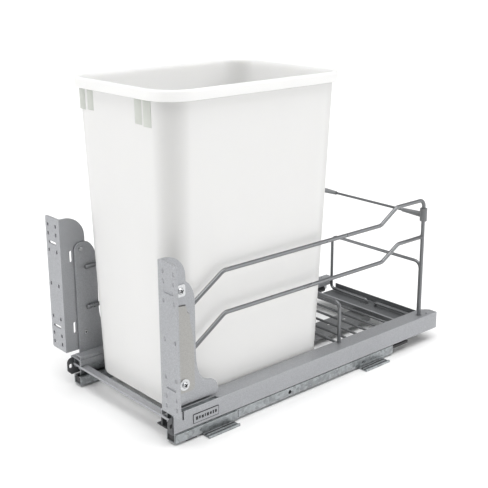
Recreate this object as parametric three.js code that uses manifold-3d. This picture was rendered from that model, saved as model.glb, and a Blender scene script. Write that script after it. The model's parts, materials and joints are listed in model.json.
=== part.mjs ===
// Pull-out waste container for a base cabinet: a bin on a full-extension
// sliding frame with door brackets, side wires and a wire floor behind the bin.
// Millimetres, +Z up, X = width, -Y = front (door side), +Y = rear.
// Lengths along Y are measured from the frame's front edge and the whole
// assembly is shifted at the end so that the origin is the bottom centre.
import * as THREE from 'three';
import * as BufferGeometryUtils from 'three/addons/utils/BufferGeometryUtils.js';
import Module from 'manifold-3d';

const wasm = await Module();
wasm.setup();

// ---- driving dimensions ----------------------------------------------------
const SHIFT_Y = 272.5;          // half of the overall length, front face at -15
const GAP = 0.3;                // clearance between neighbouring pieces

const RAIL_W = 131;             // outer half width of the frame
const RAIL_IN = 103;            // inner edge of the side rail's top flange
const RAIL_TOP = 48;             // top of the side rail
const RAIL_BOT = 19.6;          // bottom of the side rail's skirt
const RAIL_Y0 = -3, RAIL_Y1 = 560;
const SHEET = 1.5;              // sheet thickness of the rails and slides

const SLIDE_Y0 = 0, SLIDE_Y1 = 450;   // slide members, closed
const SLIDE_XI = 110, SLIDE_XO = 128.5;
const CX = 119.15;              // centre line of each slide
const SLIDE_Z0 = 3, SLIDE_Z1 = 17;

const BRACKET_Y = -15;          // front face of the door brackets
const BRACKET_Z0 = 57.8, BRACKET_Z1 = 268.3;
const BRACKET_X = 122.3;        // inner face of the bracket's leaf
const BRACKET_XO = 161.5;       // free edge of the bracket's flange
const BRACKET_T = 2.4;

const UPRIGHT_XO = 121.5, UPRIGHT_T = 2.3, UPRIGHT_Z0 = 51.6;
const SCREW_UP = [17.6, 218.2], SCREW_LO = [19, 84.6];   // y, z of the clamping screws

const WIRE_R = 3.1;             // side wires and hoops
const POST = [120.5, 524.5];      // x, y of the rear posts
const HOOP_Y = 544.8, HOOP_W = 102.8, HOOP_Z = 134.5;
const FENCE_Y = 339, FENCE_W = 110, FENCE_Z = 115.5;
const ROD_Z = 225, ROD_R = 2.1;

const BIN_Z0 = 30.7, BIN_Z1 = 478.5;
const BIN_BASE = { w: 99, y0: 22.5, y1: 313.5, r: 34 };
const BIN_TOP = { w: 117, y0: 11.5, y1: 331.6, r: 41 };
const BIN_RIM = { w: 123.2, y0: 5, y1: 337.8, r: 45 };
const BIN_RIM_H = 15, BIN_WALL = 2.6;

const CH_Y0 = 505, CH_Y1 = 559.5, CH_Z0 = 25.4, CH_Z1 = 35.6, CH_ZB = 38;   // rear cross channel

// ---- materials -------------------------------------------------------------
const finish = {
  silver: { color: 0xa9abad, roughness: 0.45, metalness: 0.35 },
  wire: { color: 0xa3a5a7, roughness: 0.4, metalness: 0.4 },
  zinc: { color: 0xa7aeae, roughness: 0.35, metalness: 0.85 },
  bright: { color: 0xd6d8d9, roughness: 0.2, metalness: 0.95 },
  bin: { color: 0xf0f0ee, roughness: 0.35, metalness: 0.0 },
  dark: { color: 0x55585b, roughness: 0.5, metalness: 0.3 },
  clip: { color: 0x85888b, roughness: 0.5, metalness: 0.0 },
  black: { color: 0x1c1d1f, roughness: 0.6, metalness: 0.0 },
};
const model = new THREE.Group();
model.position.set(0, -SHIFT_Y, 0);
function put(name, geometry, kind) {
  const f = finish[kind];
  const mesh = new THREE.Mesh(geometry, new THREE.MeshStandardMaterial({
    color: f.color, roughness: f.roughness, metalness: f.metalness }));
  mesh.name = name;
  model.add(mesh);
  return mesh;
}

// ---- helpers ---------------------------------------------------------------
function toManifold(geometry) {
  let g = geometry.clone();
  g.deleteAttribute('normal'); g.deleteAttribute('uv');
  g = BufferGeometryUtils.mergeVertices(g, 1e-4);
  return new wasm.Manifold(new wasm.Mesh({
    numProp: 3,
    vertProperties: new Float32Array(g.attributes.position.array),
    triVerts: new Uint32Array(g.index.array),
  }));
}
function fromManifold(m) {
  const mesh = m.getMesh();
  const g = new THREE.BufferGeometry();
  g.setAttribute('position', new THREE.BufferAttribute(new Float32Array(mesh.vertProperties), 3));
  g.setIndex(new THREE.BufferAttribute(new Uint32Array(mesh.triVerts), 1));
  g.computeVertexNormals();
  return g;
}
function union(...geometries) {
  let m = toManifold(geometries[0]);
  for (const g of geometries.slice(1)) m = m.add(toManifold(g));
  return fromManifold(m);
}
function cut(body, ...tools) {
  let m = toManifold(body);
  for (const t of tools) m = m.subtract(toManifold(t));
  return fromManifold(m);
}
function box(x0, x1, y0, y1, z0, z1) {
  const g = new THREE.BoxGeometry(Math.abs(x1 - x0), Math.abs(y1 - y0), Math.abs(z1 - z0));
  g.translate((x0 + x1) / 2, (y0 + y1) / 2, (z0 + z1) / 2);
  return g;
}
function shapeOf(points) {
  return new THREE.Shape(points.map(([a, b]) => new THREE.Vector2(a, b)));
}
function extrude(shape, depth, seg = 6) {
  return new THREE.ExtrudeGeometry(shape, { depth, bevelEnabled: false, curveSegments: seg });
}
// outline in (y, z), thickness from x0 to x1
function plateYZ(shape, x0, x1, seg) {
  const g = extrude(shape, x1 - x0, seg);
  g.applyMatrix4(new THREE.Matrix4().makeBasis(
    new THREE.Vector3(0, 1, 0), new THREE.Vector3(0, 0, 1), new THREE.Vector3(1, 0, 0)));
  g.translate(x0, 0, 0);
  return g;
}
// outline in (x, z), from y0 to y1
function plateXZ(shape, y0, y1, seg) {
  const g = extrude(shape, y1 - y0, seg);
  g.applyMatrix4(new THREE.Matrix4().makeBasis(
    new THREE.Vector3(1, 0, 0), new THREE.Vector3(0, 0, 1), new THREE.Vector3(0, -1, 0)));
  g.translate(0, y1, 0);
  return g;
}
// outline in (x, y), from z0 to z1
function plateXY(shape, z0, z1, seg) {
  const g = extrude(shape, z1 - z0, seg);
  g.translate(0, 0, z0);
  return g;
}
// cylinder along an axis
function rod(axis, r0, r1, a, b, c0, c1, seg = 16) {
  const g = new THREE.CylinderGeometry(r1, r0, b - a, seg);
  if (axis === 'z') g.rotateX(Math.PI / 2);
  if (axis === 'x') g.rotateZ(-Math.PI / 2);
  const m = (a + b) / 2;
  if (axis === 'x') g.translate(m, c0, c1);
  if (axis === 'y') g.translate(c0, m, c1);
  if (axis === 'z') g.translate(c0, c1, m);
  return g;
}
// mirror a geometry to the -X side, with its faces turned back outwards
function mirror(geometry) {
  let g = geometry.index ? geometry.toNonIndexed() : geometry.clone();
  g.scale(-1, 1, 1);
  const p = g.attributes.position;
  for (let i = 0; i < p.count; i += 3) {
    const x = p.getX(i + 1), y = p.getY(i + 1), z = p.getZ(i + 1);
    p.setXYZ(i + 1, p.getX(i + 2), p.getY(i + 2), p.getZ(i + 2));
    p.setXYZ(i + 2, x, y, z);
  }
  g.deleteAttribute('uv');
  g.computeVertexNormals();
  return g;
}
function pair(name, geometry, kind) {
  put(`${name}_right`, geometry, kind);
  put(`${name}_left`, mirror(geometry), kind);
}
// a path through corner points, each corner rounded to its radius
class BentPath extends THREE.Curve {
  constructor(corners, radius, steps = 5) {
    super();
    const c = corners.map((p) => new THREE.Vector3(...p));
    this.points = [c[0]];
    for (let i = 1; i < c.length - 1; i++) {
      const a = c[i - 1].clone().sub(c[i]).normalize();
      const b = c[i + 1].clone().sub(c[i]).normalize();
      const half = a.angleTo(b) / 2;
      const r = Array.isArray(radius) ? radius[i - 1] : radius;
      const t = r / Math.tan(half);
      const centre = c[i].clone().add(a.clone().add(b).normalize().multiplyScalar(r / Math.sin(half)));
      const p0 = c[i].clone().addScaledVector(a, t), p1 = c[i].clone().addScaledVector(b, t);
      const u = p0.clone().sub(centre), v = p1.clone().sub(centre);
      const angle = u.angleTo(v), axis = u.clone().cross(v).normalize();
      const n = Math.max(2, Math.ceil(steps * angle / (Math.PI / 2)));
      for (let k = 0; k <= n; k++) this.points.push(u.clone().applyAxisAngle(axis, angle * k / n).add(centre));
    }
    this.points.push(c[c.length - 1]);
  }
  get steps() { return this.points.length - 1; }
  getPoint(t) {
    const s = t * this.steps, i = Math.min(Math.floor(s), this.steps - 1);
    return this.points[i].clone().lerp(this.points[i + 1], s - i);
  }
  getPointAt(u) { return this.getPoint(u); }
  getSpacedPoints() { return this.points.map((p) => p.clone()); }
  getTangentAt(u) {
    const i = Math.round(u * this.steps);
    const a = this.points[Math.max(i - 1, 0)], b = this.points[Math.min(i + 1, this.steps)];
    return b.clone().sub(a).normalize();
  }
}
function wire(corners, bend, r = WIRE_R, sides = 12, steps = 5) {
  const path = new BentPath(corners, bend, steps);
  const circle = new THREE.Shape();
  for (let i = 0; i < sides; i++) {
    const t = i / sides * 2 * Math.PI;
    if (i === 0) circle.moveTo(r, 0); else circle.lineTo(r * Math.cos(t), r * Math.sin(t));
  }
  circle.closePath();
  return new THREE.ExtrudeGeometry(circle, { steps: path.steps, bevelEnabled: false, extrudePath: path, curveSegments: 1 });
}
// rounded slot or hole, as a path for a shape's holes
function slotHole(cx, cy, w, h) {
  const p = new THREE.Path(), r = Math.min(w, h) / 2, dx = w / 2 - r, dy = h / 2 - r;
  if (dx > dy) {
    p.absarc(cx + dx, cy, r, -Math.PI / 2, Math.PI / 2, false);
    p.absarc(cx - dx, cy, r, Math.PI / 2, 3 * Math.PI / 2, false);
  } else {
    p.absarc(cx, cy + dy, r, 0, Math.PI, false);
    p.absarc(cx, cy - dy, r, Math.PI, 2 * Math.PI, false);
  }
  return p;
}
// closed ring of points of a rounded rectangle, symmetrical about x = 0
function ring(w, y0, y1, r, z, n = 7) {
  const out = [];
  for (const [cx, cy, a] of [[w - r, y1 - r, 0], [-w + r, y1 - r, 90], [-w + r, y0 + r, 180], [w - r, y0 + r, 270]])
    for (let k = 0; k <= n; k++) {
      const t = THREE.MathUtils.degToRad(a + 90 * k / n);
      out.push([cx + r * Math.cos(t), cy + r * Math.sin(t), z]);
    }
  return out;
}
// solid through a run of rings, closed by a fan at each end
function loft(rings, flip) {
  const n = rings[0].length, pos = [], idx = [];
  for (const r of rings) for (const p of r) pos.push(...p);
  const tri = (a, b, c) => (flip ? idx.push(a, c, b) : idx.push(a, b, c));
  for (let i = 0; i < rings.length - 1; i++)
    for (let k = 0; k < n; k++) {
      const a = i * n + k, b = i * n + (k + 1) % n, c = a + n, d = b + n;
      tri(a, b, d); tri(a, d, c);
    }
  const cap = (i, up) => {
    const m = pos.length / 3, c = [0, 0, 0];
    for (const p of rings[i]) for (let j = 0; j < 3; j++) c[j] += p[j] / n;
    pos.push(...c);
    for (let k = 0; k < n; k++) {
      const a = i * n + k, b = i * n + (k + 1) % n;
      if (up) tri(a, b, m); else tri(b, a, m);
    }
  };
  cap(0, false); cap(rings.length - 1, true);
  const g = new THREE.BufferGeometry();
  g.setAttribute('position', new THREE.Float32BufferAttribute(pos, 3));
  g.setIndex(idx);
  g.computeVertexNormals();
  return g;
}

// ---- cabinet-mounted slide members (fixed) ---------------------------------
const LIP = 3.2;
const memberSection = shapeOf([
  [SLIDE_XI, SLIDE_Z0], [SLIDE_XO, SLIDE_Z0], [SLIDE_XO, SLIDE_Z1], [SLIDE_XO - SHEET - LIP, SLIDE_Z1],
  [SLIDE_XO - SHEET - LIP, SLIDE_Z1 - SHEET], [SLIDE_XO - SHEET, SLIDE_Z1 - SHEET],
  [SLIDE_XO - SHEET, SLIDE_Z0 + SHEET], [SLIDE_XI + SHEET, SLIDE_Z0 + SHEET],
  [SLIDE_XI + SHEET, SLIDE_Z1 - SHEET], [SLIDE_XI + SHEET + LIP, SLIDE_Z1 - SHEET],
  [SLIDE_XI + SHEET + LIP, SLIDE_Z1], [SLIDE_XI, SLIDE_Z1]]);
pair('cabinet_member', cut(
  plateXZ(memberSection, SLIDE_Y0, SLIDE_Y1),
  rod('x', 3, 3, 126, 130, 214.7, 10, 12),
  rod('x', 1.8, 1.8, 126, 130, 377, 9.8, 10),
  box(SLIDE_XO - SHEET - 0.5, SLIDE_XO + 1, 111.4, 113.4, 4.6, 15.4),
  rod('z', 2.5, 2.5, 2, 6, CX, 130, 12),
  rod('z', 2.5, 2.5, 2, 6, CX, 350, 12)), 'zinc');

// front floor bracket: a side wall beside the member and a foot on the floor
const FOOT_Z = SLIDE_Z0 - GAP;
pair('front_floor_bracket', cut(union(
  box(SLIDE_XO + GAP, SLIDE_XO + GAP + 1.2, 0.5, 111, 3.3, 16),
  box(SLIDE_XO + GAP, SLIDE_XO + GAP + 1.2, 47.5, 103.5, 1, 6),
  box(110.5, 144, 47.5, 103.5, 0, 1.8),
  box(110.5, 128, 47.5, 103.5, 1, FOOT_Z),
  box(135.6, 137.8, 49, 102, 1, 3.4),
  box(141.6, 144, 47.5, 103.5, 1, 3.6)),
  rod('z', 1.9, 1.9, -1, 5, 132.4, 61, 12),
  rod('z', 1.9, 1.9, -1, 5, 132.4, 90, 12)), 'zinc');
pair('rear_floor_bracket', cut(union(
  box(SLIDE_XO + GAP, SLIDE_XO + GAP + 1.2, 368, 425, 1, 7),
  box(110.5, 144, 368, 425, 0, 1.8),
  box(110.5, 128, 368, 425, 1, FOOT_Z),
  box(135.6, 137.8, 369.5, 423.5, 1, 3.4),
  box(141.6, 144, 368, 425, 1, 3.6)),
  rod('z', 1.9, 1.9, -1, 5, 132.4, 382, 12),
  rod('z', 1.9, 1.9, -1, 5, 132.4, 411, 12)), 'zinc');
// cross foot under the front of the right-hand member, with an upstand at its inner end
put('inner_floor_bracket', cut(union(
  box(60, 127.5, 20, 38, 0, 1.8),
  box(110.5, 127.5, 20, 38, 1, FOOT_Z),
  box(69.6, 73, 20, 38, 1, 20.4)),
  rod('z', 2.2, 2.2, -1, 5, 65, 30, 12),
  rod('z', 2.2, 2.2, -1, 5, 92, 29, 12)), 'zinc');
// plastic stop behind each member, which carries the damper
const DAMP_Z = 27;
pair('rear_stop', cut(union(
  box(110.3, 128.3, 450.4, 488, 11, 15.6),
  box(112.4, 125.9, 474, 488, 15, 34)),
  rod('y', 5.6, 5.6, 470, 492, CX, DAMP_Z, 20)), 'black');
pair('damper_cylinder', rod('y', 5.3, 5.3, 468, 540, CX, DAMP_Z, 18), 'black');
pair('damper_rod', rod('y', 2, 2, 452.6, 467.7, CX, DAMP_Z, 12), 'bright');

// ---- sliding members and ball cages ----------------------------------------
const IN_X0 = 112.8, IN_X1 = 125.5, WEB = 0.75;
const I_BOT = 8.2, I_TOP = 37.5;
const interSection = shapeOf([
  [IN_X0, I_BOT], [IN_X1, I_BOT], [IN_X1, I_BOT + SHEET], [CX + WEB, I_BOT + SHEET],
  [CX + WEB, I_TOP], [IN_X1, I_TOP], [IN_X1, I_TOP + SHEET], [IN_X0, I_TOP + SHEET],
  [IN_X0, I_TOP], [CX - WEB, I_TOP], [CX - WEB, I_BOT + SHEET], [IN_X0, I_BOT + SHEET]]);
pair('intermediate_member', plateXZ(interSection, SLIDE_Y0 + 5, SLIDE_Y1 - 1), 'zinc');
pair('front_end_cap', box(IN_X0 - 0.8, IN_X1 + 0.8, 1.2, 4.7, 5, 15.2), 'black');

const DR_X0 = 110.9, DR_X1 = 127.4, DR_TOP = RAIL_TOP - SHEET - GAP, DR_BOT = 30;
const drawerSection = shapeOf([
  [DR_X0, DR_BOT], [DR_X0 + SHEET + 3.2, DR_BOT], [DR_X0 + SHEET + 3.2, DR_BOT + SHEET],
  [DR_X0 + SHEET, DR_BOT + SHEET], [DR_X0 + SHEET, DR_TOP - SHEET], [DR_X1 - SHEET, DR_TOP - SHEET],
  [DR_X1 - SHEET, DR_BOT + SHEET], [DR_X1 - SHEET - 3.2, DR_BOT + SHEET], [DR_X1 - SHEET - 3.2, DR_BOT],
  [DR_X1, DR_BOT], [DR_X1, DR_TOP], [DR_X0, DR_TOP]]);
pair('drawer_member', plateXZ(drawerSection, SLIDE_Y0, SLIDE_Y1), 'zinc');

function cage(z, y0) {
  const parts = [box(CX - 5.4, CX + 5.4, y0, y0 + 100, z - 0.5, z + 0.5)];
  for (let i = 0; i < 5; i++) for (const dx of [-3.4, 3.4]) {
    const ball = new THREE.SphereGeometry(1.5, 6, 4);
    ball.translate(CX + dx, y0 + 10 + 20 * i, z);
    parts.push(ball);
  }
  return union(...parts);
}
pair('lower_ball_cage', cage((SLIDE_Z0 + SHEET + I_BOT) / 2, 175), 'zinc');
pair('upper_ball_cage', cage((I_TOP + SHEET + DR_TOP - SHEET) / 2, 175), 'zinc');

// ---- sliding frame ---------------------------------------------------------
// side rail: outer skirt, top flange, inner lip; notch for the upright's foot
const NOTCH = { x0: 121.9, x1: 129.5, y0: 11, y1: 75 };   // opening beside the upright
const railSection = shapeOf([
  [RAIL_W, RAIL_BOT], [RAIL_W, RAIL_TOP], [RAIL_IN, RAIL_TOP], [RAIL_IN, 38.7],
  [RAIL_IN + SHEET, 38.7], [RAIL_IN + SHEET, RAIL_TOP - SHEET], [RAIL_W - SHEET, RAIL_TOP - SHEET],
  [RAIL_W - SHEET, RAIL_BOT]]);
const rail = plateXZ(railSection, RAIL_Y0, RAIL_Y1);
const slots = [];
for (const y of [288, 333, 396]) {
  const s = new THREE.Shape();
  s.absarc(0, 8, 2, 0, Math.PI, false); s.absarc(0, -8, 2, Math.PI, 2 * Math.PI, false);
  const g = plateXY(s, RAIL_TOP - 3, RAIL_TOP + 1, 5);
  g.rotateZ(THREE.MathUtils.degToRad(28)); g.translate(116, y, 0);
  slots.push(g);
}
const railWithRivet = union(rail, rod('z', 2.2, 1.9, RAIL_TOP - 0.4, RAIL_TOP + 2.4, 124.5, 541, 12));
pair('side_rail', cut(railWithRivet,
  box(NOTCH.x0, NOTCH.x1, NOTCH.y0, NOTCH.y1, RAIL_TOP - 4, RAIL_TOP + 1),
  box(RAIL_W - 3, RAIL_W + 1, 12, 14.4, 35.6, RAIL_TOP + 1),
  box(RAIL_IN - 1, RAIL_IN + 2, 505 - GAP, 562, 30, 40),
  box(RAIL_IN - 1, HOOP_W + 3.2, HOOP_Y - 3.6, HOOP_Y + 3.6, 30, RAIL_TOP + 1),
  plateXY(shapeOf([[101, 546], [104, 547], [111, 556.5], [117, 561], [117, 564], [101, 564]]), 30, 50)), 'silver');
pair('blank_label', plateYZ(slotRect(29.5, 24, 75, 38.2, 1.2), RAIL_W + 0.05, RAIL_W + 0.75, 3), 'silver');
function slotRect(a0, b0, a1, b1, r) {
  const s = new THREE.Shape();
  s.moveTo(a0 + r, b0); s.lineTo(a1 - r, b0); s.absarc(a1 - r, b0 + r, r, -Math.PI / 2, 0, false);
  s.lineTo(a1, b1 - r); s.absarc(a1 - r, b1 - r, r, 0, Math.PI / 2, false);
  s.lineTo(a0 + r, b1); s.absarc(a0 + r, b1 - r, r, Math.PI / 2, Math.PI, false);
  s.lineTo(a0, b0 + r); s.absarc(a0 + r, b0 + r, r, Math.PI, 1.5 * Math.PI, false);
  return s;
}
// ear with a hole at the front of each rail
const ear = new THREE.Shape();
ear.moveTo(10, 18); ear.lineTo(10, 45); ear.lineTo(-4, 45);
ear.absarc(-4, 37.5, 7.5, Math.PI / 2, Math.PI, false);
ear.lineTo(-11.5, 24.8); ear.lineTo(-5, 18); ear.closePath();
ear.holes.push(slotHole(-6, 32, 5, 7));
pair('rail_ear', plateYZ(ear, 127.8, 129.2, 5), 'silver');

// front cross rail: an angle between the two rails
put('front_cross_rail', union(
  plateYZ(shapeOf([
    [0, 33.5], [0, 35.9], [8.2, 35.9], [8.2, 32.5], [9.6, 32.5], [9.6, 37.3], [-1.4, 37.3], [-1.4, 33.5]]),
    -108, 108),
  box(-127.4, 127.4, -1.4, -0.4, 33.5, 37.3)), 'silver');
// rear cross channel with a window for the hoop's ends
const chSection = shapeOf([
  [CH_Y0 - 4, CH_Z1 - 1.2], [CH_Y0 - 4, CH_Z1], [CH_Y0 + 1.2, CH_Z1], [CH_Y0 + 1.2, CH_Z0 + 1.2],
  [CH_Y1 - 1.2, CH_Z0 + 1.2], [CH_Y1 - 1.2, CH_ZB], [CH_Y1, CH_ZB], [CH_Y1, CH_Z0], [CH_Y0, CH_Z0], [CH_Y0, CH_Z1 - 1.2]]);
put('rear_cross_channel', cut(plateYZ(chSection, -105.4, 105.4),
  box(-24, 24, HOOP_Y - 7, HOOP_Y + 7, CH_Z0 - 1, CH_Z0 + 3)), 'dark');
// centre support under the bin and the wire floor
const csHoles = [];
for (let y = 90; y <= 470; y += 38) csHoles.push(rod('z', 4, 4, 15, 22, 0, y, 12));
put('centre_support', cut(plateXZ(shapeOf([
  [-19.5, 10.3], [-18, 10.3], [-18, 19.2], [18, 19.2], [18, 10.3], [19.5, 10.3], [19.5, 20.7], [-19.5, 20.7]]), 50, 517),
  ...csHoles), 'dark');
// two straps that carry the bin's base
for (const [name, y] of [['front_bin_strap', 60], ['rear_bin_strap', 248]])
  put(name, plateYZ(shapeOf([
    [y, 21], [y + 1.5, 21], [y + 1.5, 28.8], [y + 30.5, 28.8], [y + 30.5, 21], [y + 32, 21],
    [y + 32, 30.3], [y, 30.3]]), -105.4, 105.4), 'silver');

// uprights on the rails, which hold the door brackets
const up = new THREE.Shape();
up.moveTo(6.5, UPRIGHT_Z0); up.lineTo(6.5, 215);
up.absarc(18, 216.7, 11.5, Math.PI, Math.PI / 2, true);
up.lineTo(27, 228.2);
up.bezierCurveTo(35.5, 227, 43.6, 212.5, 44.2, 198);
up.lineTo(44.2, 121.8);
up.bezierCurveTo(44.2, 95, 52, 78.4, 66, 76.4);
up.bezierCurveTo(76, 75.3, 82, 68, 83, 53.8);
up.lineTo(83, UPRIGHT_Z0); up.closePath();
for (const [y, z] of [SCREW_UP, SCREW_LO]) up.holes.push(slotHole(y, z, 7, 7));
const upright = union(plateYZ(up, UPRIGHT_XO - UPRIGHT_T, UPRIGHT_XO, 6),
  box(104.2, UPRIGHT_XO - 1, -1, 76, UPRIGHT_Z0, UPRIGHT_Z0 + 2),
  box(104.2, 106, -1, 76, RAIL_TOP + GAP, UPRIGHT_Z0 + 1));
pair('upright', upright, 'silver');

// side wires; the upper one turns down into the rear post
const X0 = UPRIGHT_XO - UPRIGHT_T - GAP - WIRE_R;      // beside the upright
pair('upper_side_wire', wire([
  [X0, 22, 188.5], [X0, 44, 189.5], [119.4, 96, 226.8], [POST[0] - 0.4, 419, 227],
  [POST[0], 456, 250.4], [POST[0], POST[1], 250.6], [POST[0], POST[1], RAIL_TOP + GAP]],
  [12, 14, 14, 14, 11]), 'wire');
pair('lower_side_wire', wire([
  [X0, 22, 124.5], [X0, 44, 125.5], [119.4, 98, 165.3], [POST[0] - 0.4, 424, 165.2],
  [POST[0], 462, 187.6], [POST[0], POST[1] - WIRE_R - GAP, 187.6]],
  [12, 14, 14, 14]), 'wire');
// rear hoop: its feet turn inwards in the channel and end at its middle
put('rear_hoop', wire([
  [-13, HOOP_Y, 25], [-16, HOOP_Y, 33], [-HOOP_W, HOOP_Y, 33], [-HOOP_W, HOOP_Y, HOOP_Z],
  [HOOP_W, HOOP_Y, HOOP_Z], [HOOP_W, HOOP_Y, 33], [8, HOOP_Y, 33], [5, HOOP_Y, 25]],
  [4, 7, 12, 12, 7, 4], 2.7), 'wire');
// low fence behind the bin
put('bin_fence', wire([
  [-FENCE_W, FENCE_Y, RAIL_TOP + GAP], [-FENCE_W, FENCE_Y, FENCE_Z],
  [FENCE_W, FENCE_Y, FENCE_Z], [FENCE_W, FENCE_Y, RAIL_TOP + GAP]], 11, 2.9), 'wire');
// wire floor behind the bin: six cross wires on two long wires
const GW = RAIL_IN - GAP, GRILLE_Z = 43.3;
const grille = [];
for (let i = 0; i < 6; i++) grille.push(rod('x', 2, 2, -GW, GW, 345 + 24.5 * i, GRILLE_Z, 8));
for (const s of [-1, 1]) grille.push(rod('y', 1.6, 1.6, 341, 471, s * (GW - 2.2), GRILLE_Z - 2.8, 8));
put('wire_floor', union(...grille), 'wire');

// rod across the rear posts, in a plastic clip on each post
const clipBody = union(
  rod('z', 6, 6, ROD_Z - 10.3, ROD_Z + 11.3, POST[0], POST[1], 18),
  rod('x', 3.3, 5, 76, POST[0] - 3, POST[1], ROD_Z, 14));
pair('rod_clip', cut(clipBody,
  rod('z', WIRE_R + 0.35, WIRE_R + 0.35, ROD_Z - 20, ROD_Z + 20, POST[0], POST[1], 18),
  rod('x', ROD_R + 0.35, ROD_R + 0.35, 70, 110, POST[1], ROD_Z, 12)), 'clip');
put('rear_rod', rod('x', ROD_R, ROD_R, -108, 108, POST[1], ROD_Z, 12), 'wire');

// ---- door brackets ---------------------------------------------------------
const flange = new THREE.Shape();
{
  const x0 = BRACKET_X, x1 = BRACKET_XO, z0 = BRACKET_Z0, z1 = BRACKET_Z1, r = 3;
  flange.moveTo(x0, z0); flange.lineTo(x1 - r, z0); flange.absarc(x1 - r, z0 + r, r, -Math.PI / 2, 0, false);
  flange.lineTo(x1, z1 - r); flange.absarc(x1 - r, z1 - r, r, 0, Math.PI / 2, false);
  flange.lineTo(x0, z1); flange.closePath();
  for (const z of [255.4, 242, 215.7, 162.5, 109.4, 82, 68.1])
    for (const x of [133, 155]) flange.holes.push(slotHole(x, z, 4.4, 6.4));
  for (const z of [228.6, 95.5]) flange.holes.push(slotHole(144, z, 21, 4.2));
}
const leaf = new THREE.Shape();
leaf.moveTo(BRACKET_Y, BRACKET_Z0); leaf.lineTo(21, BRACKET_Z0);
leaf.absarc(21, BRACKET_Z0 + 6, 6, -Math.PI / 2, 0, false);
leaf.lineTo(27, BRACKET_Z1 - 34);
leaf.absarc(-5, BRACKET_Z1 - 32, 32, 0, Math.PI / 2, false);
leaf.lineTo(BRACKET_Y, BRACKET_Z1); leaf.closePath();
leaf.holes.push(slotHole(SCREW_UP[0], SCREW_UP[1], 7.2, 13.6));
leaf.holes.push(slotHole(SCREW_LO[0], SCREW_LO[1], 7.2, 13.6));
leaf.holes.push(slotHole(2, 208.5, 4, 18));
leaf.holes.push(slotHole(2, 95, 4, 18));
pair('door_bracket', union(
  plateXZ(flange, BRACKET_Y, BRACKET_Y + BRACKET_T, 4),
  plateYZ(leaf, BRACKET_X, BRACKET_X + BRACKET_T, 6)), 'silver');
// adjuster plate under the lower screw, on the outside of the leaf
const PL_X = BRACKET_X + BRACKET_T + GAP;
const plate = new THREE.Shape();
plate.moveTo(10, 72.2); plate.lineTo(31, 72.2); plate.absarc(31, 78.2, 6, -Math.PI / 2, 0, false);
plate.lineTo(37, 135.2); plate.lineTo(34, 159); plate.lineTo(31, 173.4); plate.lineTo(31, 182.7);
plate.lineTo(27, 186.8); plate.lineTo(25, 196); plate.lineTo(10, 197.6); plate.closePath();
plate.holes.push(slotHole(SCREW_LO[0], SCREW_LO[1], 7, 7));
pair('adjuster_plate', plateYZ(plate, PL_X, PL_X + 2.2, 5), 'silver');
// clamping screws, each with its washer
function screw(y, z, x, square) {
  const head = new THREE.LatheGeometry([
    [0, 0], [2.6, 0], [2.6, 8.2], [4.8, 8.2], [4.8, 9.4], [3.6, 10.8], [1.6, 11.4], [0, 11.4],
  ].map(([r, h]) => new THREE.Vector2(r, h)), 16);
  head.rotateZ(-Math.PI / 2); head.translate(x - 8.6, y, z);
  const washer = square
    ? plateYZ(slotRect(y - 7.6, z - 8.4, y + 7.6, z + 8.4, 3), x - 1.4, x, 4)
    : rod('x', 8.2, 8.2, x - 1.4, x, y, z, 22);
  const cross = [box(x + 1.2, x + 5, y - 2.6, y + 2.6, z - 0.5, z + 0.5), box(x + 1.2, x + 5, y - 0.5, y + 0.5, z - 2.6, z + 2.6)];
  return cut(union(head, washer), ...cross);
}
pair('upper_bracket_screw', screw(SCREW_UP[0], SCREW_UP[1], PL_X + 1.4, true), 'bright');
pair('lower_bracket_screw', screw(SCREW_LO[0], SCREW_LO[1], PL_X + 2.2 + GAP + 1.4, false), 'bright');

// ---- bin -------------------------------------------------------------------
{
  const at = (a, b, s) => ({ w: a.w + (b.w - a.w) * s, y0: a.y0 + (b.y0 - a.y0) * s, y1: a.y1 + (b.y1 - a.y1) * s, r: a.r + (b.r - a.r) * s });
  const R = (p, inset, z) => ring(p.w - inset, p.y0 + inset, p.y1 - inset, Math.max(p.r - inset, 3), z);
  const H = BIN_Z1 - BIN_Z0;
  const wallTop = BIN_Z1 - 3;
  const s = (z) => (z - BIN_Z0) / (BIN_Z1 - BIN_RIM_H - BIN_Z0);
  const body = (z, inset) => R(at(BIN_BASE, BIN_TOP, s(z)), inset, z);
  const rim = (inset, z) => R(BIN_RIM, inset, z);
  const rings = [
    body(BIN_Z0 + BIN_WALL + 1, BIN_WALL + 2.5), body(BIN_Z0 + BIN_WALL + 5, BIN_WALL),
    body((BIN_Z0 + BIN_Z1) / 2, BIN_WALL),
    body(BIN_Z1 - 7, BIN_WALL), R(at(BIN_BASE, BIN_TOP, 1), BIN_WALL - 1.6, BIN_Z1 - 1.5),
    R(at(BIN_BASE, BIN_TOP, 1), -1, BIN_Z1), rim(2.2, BIN_Z1), rim(0.4, BIN_Z1 - 2),
    rim(0, BIN_Z1 - BIN_RIM_H), rim(2.2, BIN_Z1 - BIN_RIM_H), rim(2.6, BIN_Z1 - 4),
    body(BIN_Z1 - 5.5, 0), body((BIN_Z0 + BIN_Z1) / 2, 0),
    body(BIN_Z0 + 5, 0), body(BIN_Z0, 4)];
  put('bin', loft(rings, true), 'bin');
}

export default model;
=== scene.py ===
# Pull-out waste container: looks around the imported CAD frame. Metres, +Z up,
# -Y is the door side. Lengths below are in millimetres in the part's own frame,
# with Y measured from the frame's front edge, and P() turns them into metres.
import json
import math
import random

import bpy
import bmesh
from mathutils import Matrix, Vector


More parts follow.
